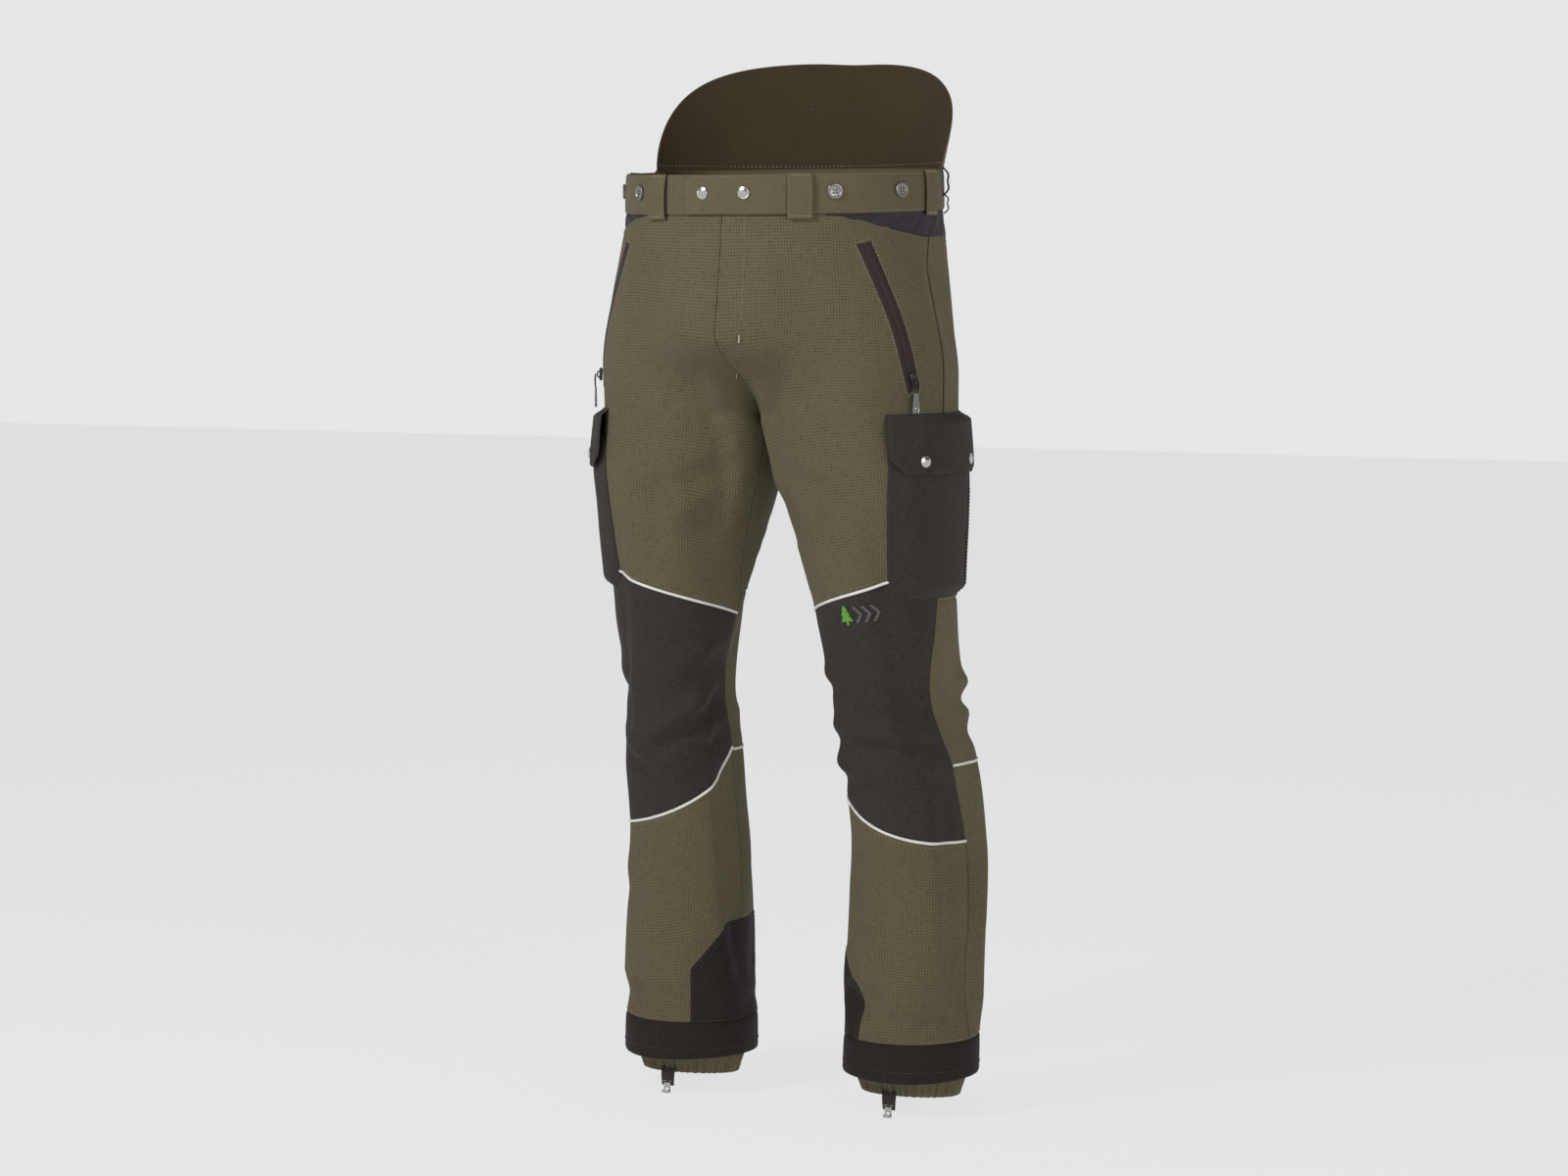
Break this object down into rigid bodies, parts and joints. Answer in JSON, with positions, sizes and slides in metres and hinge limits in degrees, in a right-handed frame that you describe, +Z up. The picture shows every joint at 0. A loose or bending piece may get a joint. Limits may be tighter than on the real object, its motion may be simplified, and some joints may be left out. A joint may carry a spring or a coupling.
{
  "type": "chainsaw protective trousers",
  "caption": "Cut-protection work trousers with a raised kidney panel, thigh pockets, padded legs and elastic gaiters with lace hooks.",
  "frame": {"origin": "centre of the waist opening at the top of the waistband", "axes": "+Z up along the garment, -Y towards its front, +X towards the wearer's left"},
  "size_m": [0.4646, 0.3428, 1.215],
  "materials": {
    "ripstop": "olive polyamide ripstop, matt",
    "twill": "plain olive stretch twill",
    "knee_fabric": "charcoal abrasion-resistant plain weave",
    "ankle_fabric": "brown-black coated abrasion-resistant fabric",
    "stretch_knit": "purple-grey elastic knit",
    "kidney_lining": "dark olive-brown lining fabric inside, olive twill outside",
    "reflective": "off-white retroreflective piping",
    "cut_padding": "loose layered cut-protection fibre, off-white",
    "lining": "thin mesh lining, dark grey",
    "zip_tape": "dark brown laminated water-repellent zip tape",
    "snap_steel": "polished nickel-plated snap and button metal",
    "slider_metal": "black enamelled zip slider",
    "hook_steel": "bright steel lace hook",
    "pull_rubber": "grey moulded rubber zip pull"
  },
  "bodies": {
    "root": {"waist_stretch": "stretch_knit", "waistband_back": "twill", "fly_zip_tape": "zip_tape", "thigh_front_left": "ripstop", "thigh_front_right": "ripstop", "seat_panel_left": "twill", "seat_panel_right": "twill", "knee_panel_left": "knee_fabric", "knee_panel_right": "knee_fabric", "knee_back_left": "twill", "knee_back_right": "twill", "waistband_left": "twill", "waistband_right": "twill", "brace_button_front_left": "snap_steel", "brace_button_front_right": "snap_steel", "brace_button_side_left": "snap_steel", "brace_button_side_right": "snap_steel", "belt_loop_front_left": "twill", "belt_loop_front_right": "twill", "belt_loop_side_left": "twill", "belt_loop_side_right": "twill", "upper_piping_left": "reflective", "upper_piping_right": "reflective", "cut_pad_left": "cut_padding", "cut_pad_right": "cut_padding", "lining_left": "lining", "lining_right": "lining", "hip_zip_tape_left": "zip_tape", "hip_zip_tape_right": "zip_tape", "hip_pocket_bag_left": "lining", "hip_pocket_bag_right": "lining", "cargo_pocket_left": "knee_fabric", "cargo_pocket_right": "knee_fabric"},
    "kidney_flap": {"kidney_panel": "kidney_lining"},
    "waist_closure": {"waist_tab": "twill", "waist_snap_inner": "snap_steel", "waist_snap_outer": "snap_steel"},
    "fly_slider": {"fly_zip_slider": "slider_metal"},
    "pocket_flap_left": {"cargo_flap_left": "knee_fabric"},
    "zip_slider_left": {"hip_zip_slider_left": "slider_metal"},
    "zip_pull_left": {"hip_zip_pull_left": "pull_rubber"},
    "shin_left": {"shin_front_left": "ripstop", "calf_panel_left": "ripstop", "hem_band_left": "ankle_fabric", "lower_piping_left": "reflective", "ankle_patch_left": "ankle_fabric", "gaiter_left": "ripstop"},
    "lace_left": {"lace_tab_left": "knee_fabric", "lace_hook_left": "hook_steel"},
    "pocket_flap_right": {"cargo_flap_right": "knee_fabric"},
    "zip_slider_right": {"hip_zip_slider_right": "slider_metal"},
    "zip_pull_right": {"hip_zip_pull_right": "pull_rubber"},
    "shin_right": {"shin_front_right": "ripstop", "calf_panel_right": "ripstop", "hem_band_right": "ankle_fabric", "lower_piping_right": "reflective", "ankle_patch_right": "ankle_fabric", "gaiter_right": "ripstop"},
    "lace_right": {"lace_tab_right": "knee_fabric", "lace_hook_right": "hook_steel"}
  },
  "joints": [
    {"name": "kidney_fold", "type": "hinge", "parent": "root", "child": "kidney_flap", "pos_m": [0, 0.15285, 0.0066], "axis": [-1, 0, 0], "range_deg": [0, 40]},
    {"name": "waist_tab_open", "type": "hinge", "parent": "root", "child": "waist_closure", "pos_m": [0.06514, -0.14568, -0.02806], "axis": [0, 0, 1], "range_deg": [0, 90]},
    {"name": "fly_zip", "type": "slide", "parent": "root", "child": "fly_slider", "axis": [0, -0.1345, -0.9909], "range_m": [0, 0.1012]},
    {"name": "hip_zip_left", "type": "hinge", "parent": "root", "child": "zip_slider_left", "pos_m": [-0.33493, -0.02203, -0.30436], "axis": [-0.0685, -0.9786, -0.194], "range_deg": [0, 15.84]},
    {"name": "zip_pull_swing_left", "type": "hinge", "parent": "zip_slider_left", "child": "zip_pull_left", "pos_m": [0.20509, -0.07838, -0.23298], "axis": [-0.5541, -0.8325, 0], "range_deg": [0, 90]},
    {"name": "pocket_flap_open_left", "type": "hinge", "parent": "root", "child": "pocket_flap_left", "pos_m": [0.21467, -0.02902, -0.272], "axis": [-0.1564, -0.9877, 0], "range_deg": [0, 110]},
    {"name": "knee_bend_left", "type": "hinge", "parent": "root", "child": "shin_left", "pos_m": [0.14183, 0.01063, -0.6], "axis": [1, 0, 0], "range_deg": [0, 90], "deforming": ["knee_panel_left", "knee_back_left", "cut_pad_left", "lining_left"]},
    {"name": "lace_tab_swing_left", "type": "hinge", "parent": "shin_left", "child": "lace_left", "pos_m": [0.145, -0.01731, -1.055], "axis": [-1, 0, 0], "range_deg": [0, 90]},
    {"name": "hip_zip_right", "type": "hinge", "parent": "root", "child": "zip_slider_right", "pos_m": [0.33493, -0.02203, -0.30436], "axis": [-0.0685, 0.9786, 0.194], "range_deg": [0, 15.84]},
    {"name": "zip_pull_swing_right", "type": "hinge", "parent": "zip_slider_right", "child": "zip_pull_right", "pos_m": [-0.20509, -0.07838, -0.23298], "axis": [-0.5541, 0.8325, 0], "range_deg": [0, 90]},
    {"name": "pocket_flap_open_right", "type": "hinge", "parent": "root", "child": "pocket_flap_right", "pos_m": [-0.21467, -0.02902, -0.272], "axis": [-0.1564, 0.9877, 0], "range_deg": [0, 110]},
    {"name": "knee_bend_right", "type": "hinge", "parent": "root", "child": "shin_right", "pos_m": [-0.14183, 0.01063, -0.6], "axis": [1, 0, 0], "range_deg": [0, 90], "deforming": ["knee_panel_right", "knee_back_right", "cut_pad_right", "lining_right"]},
    {"name": "lace_tab_swing_right", "type": "hinge", "parent": "shin_right", "child": "lace_right", "pos_m": [-0.145, -0.01731, -1.055], "axis": [-1, 0, 0], "range_deg": [0, 90]}
  ]
}
